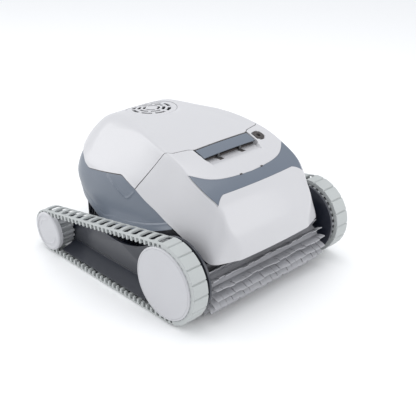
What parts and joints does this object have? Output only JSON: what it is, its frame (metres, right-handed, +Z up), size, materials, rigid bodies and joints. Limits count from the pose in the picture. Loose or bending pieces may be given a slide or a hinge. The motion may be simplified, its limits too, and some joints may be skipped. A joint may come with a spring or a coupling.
{
  "type": "pool cleaner",
  "caption": "Tracked robotic pool cleaner with a domed hinged lid, lift handle, top outlet grille, filter basket, geared front brush and wheels inside toothed treads.",
  "frame": {"origin": "on the floor under the middle of the machine, at the centre of its outer box in plan", "axes": "+X to the right seen from the front (nodes named right are at +X), +Y from the brush towards the hinge at the rear, +Z up"},
  "size_m": [0.38, 0.4318, 0.2547],
  "materials": {
    "white_shell": "satin moulded shell",
    "slate_plastic": "fine satin",
    "navy_plastic": "satin moulded",
    "grey_plastic": "moulded",
    "cap_plastic": "satin",
    "tread_rubber": "moulded rubber",
    "brush_rubber": "soft moulded sleeve",
    "black_plastic": "moulded",
    "black_rubber": "moulded",
    "bush_plastic": "moulded acetal",
    "flap_plastic": "thin moulded",
    "filter_mesh": "fine woven screen",
    "steel": "turned stainless",
    "brass": "cut",
    "board_green": "lacquered board"
  },
  "bodies": {
    "root": {"front_cover": "white_shell", "front_band": "slate_plastic", "cable_gland": "black_rubber", "body_skirt": "slate_plastic", "lid_hinge_pins": "steel", "chassis": "navy_plastic", "side_plate_left": "navy_plastic", "side_plate_right": "navy_plastic", "side_screws": "steel", "front_axles": "steel", "rear_axles": "steel", "track_left": "tread_rubber", "track_right": "tread_rubber", "drive_bushes": "bush_plastic", "drive_box": "black_plastic", "drive_box_lid": "black_plastic", "drive_motor": "steel", "brush_bushes": "bush_plastic", "pump_pod": "black_plastic", "pump_cap": "black_plastic", "shaft_seal": "black_rubber", "pump_motor": "steel", "control_board": "board_green", "pump_duct": "black_plastic", "filter_frame": "grey_plastic", "filter_panels": "filter_mesh", "basket_handle": "slate_plastic", "intake_duct": "black_plastic", "flap_pins": "steel"},
    "lid": {"lid": "white_shell", "outlet_grille": "white_shell", "handle_pins": "steel"},
    "latch": {"latch_handle": "slate_plastic"},
    "front_wheel_left": {"front_wheel_left": "grey_plastic", "front_bush_left": "bush_plastic", "front_cap_left": "cap_plastic"},
    "front_wheel_right": {"front_wheel_right": "grey_plastic", "front_bush_right": "bush_plastic", "front_cap_right": "cap_plastic"},
    "rear_wheel_left": {"rear_wheel_left": "grey_plastic", "rear_bush_left": "bush_plastic", "rear_cap_left": "cap_plastic"},
    "rear_wheel_right": {"rear_wheel_right": "grey_plastic", "rear_bush_right": "bush_plastic", "rear_cap_right": "cap_plastic"},
    "drive": {"drive_shaft": "steel", "drive_pinions": "bush_plastic", "shaft_gear": "brass"},
    "rotor": {"motor_shaft": "steel", "motor_gear": "bush_plastic"},
    "brush": {"brush_shaft": "steel", "brush_core": "grey_plastic", "brush_sleeve": "brush_rubber", "brush_gears": "bush_plastic"},
    "pump_rotor": {"impeller_shaft": "steel", "impeller": "grey_plastic"},
    "flap_left": {"intake_flap_left": "flap_plastic"},
    "flap_right": {"intake_flap_right": "flap_plastic"}
  },
  "joints": [
    {"name": "left_front_wheel_spin", "type": "hinge", "parent": "root", "child": "front_wheel_left", "pos_m": [0, -0.14622, 0.06989], "axis": [1, 0, 0], "continuous": true, "deforming": ["track_left", "track_right"]},
    {"name": "right_front_wheel_spin", "type": "hinge", "parent": "root", "child": "front_wheel_right", "pos_m": [0, -0.14622, 0.06989], "axis": [1, 0, 0], "continuous": true},
    {"name": "left_rear_wheel_spin", "type": "hinge", "parent": "root", "child": "rear_wheel_left", "pos_m": [0, 0.17462, 0.04149], "axis": [1, 0, 0], "continuous": true},
    {"name": "right_rear_wheel_spin", "type": "hinge", "parent": "root", "child": "rear_wheel_right", "pos_m": [0, 0.17462, 0.04149], "axis": [1, 0, 0], "continuous": true},
    {"name": "drive_shaft_spin", "type": "hinge", "parent": "root", "child": "drive", "pos_m": [0, -0.13023, 0.0976], "axis": [1, 0, 0], "continuous": true},
    {"name": "drive_motor_spin", "type": "hinge", "parent": "root", "child": "rotor", "pos_m": [0, -0.10622, 0.0976], "axis": [1, 0, 0], "continuous": true},
    {"name": "brush_spin", "type": "hinge", "parent": "root", "child": "brush", "pos_m": [0, -0.16722, 0.04573], "axis": [1, 0, 0], "continuous": true},
    {"name": "impeller_spin", "type": "hinge", "parent": "root", "child": "pump_rotor", "pos_m": [0, 0.095, 0.176], "axis": [0, 0, 1], "continuous": true},
    {"name": "lid_hinge", "type": "hinge", "parent": "root", "child": "lid", "pos_m": [0, 0.206, 0.183], "axis": [-1, 0, 0], "range_deg": [0, 78]},
    {"name": "handle_lift", "type": "hinge", "parent": "lid", "child": "latch", "pos_m": [0, -0.0855, 0.233], "axis": [-1, 0, 0], "range_deg": [0, 12], "stiffness_Nm_per_rad": 0.12, "springref_deg": -5.73},
    {"name": "left_flap_swing", "type": "hinge", "parent": "root", "child": "flap_left", "pos_m": [-0.045, 0, 0.0415], "axis": [0, -1, 0], "range_deg": [0, 60]},
    {"name": "right_flap_swing", "type": "hinge", "parent": "root", "child": "flap_right", "pos_m": [0.045, 0, 0.0415], "axis": [0, 1, 0], "range_deg": [0, 60]}
  ],
  "couplings": [
    {"joint": "right_front_wheel_spin", "follows": "left_front_wheel_spin", "ratio": 1},
    {"joint": "left_rear_wheel_spin", "follows": "left_front_wheel_spin", "ratio": 1.8},
    {"joint": "right_rear_wheel_spin", "follows": "left_front_wheel_spin", "ratio": 1.8},
    {"joint": "drive_shaft_spin", "follows": "left_front_wheel_spin", "ratio": 3},
    {"joint": "drive_motor_spin", "follows": "left_front_wheel_spin", "ratio": -1.5},
    {"joint": "brush_spin", "follows": "left_front_wheel_spin", "ratio": 3}
  ]
}
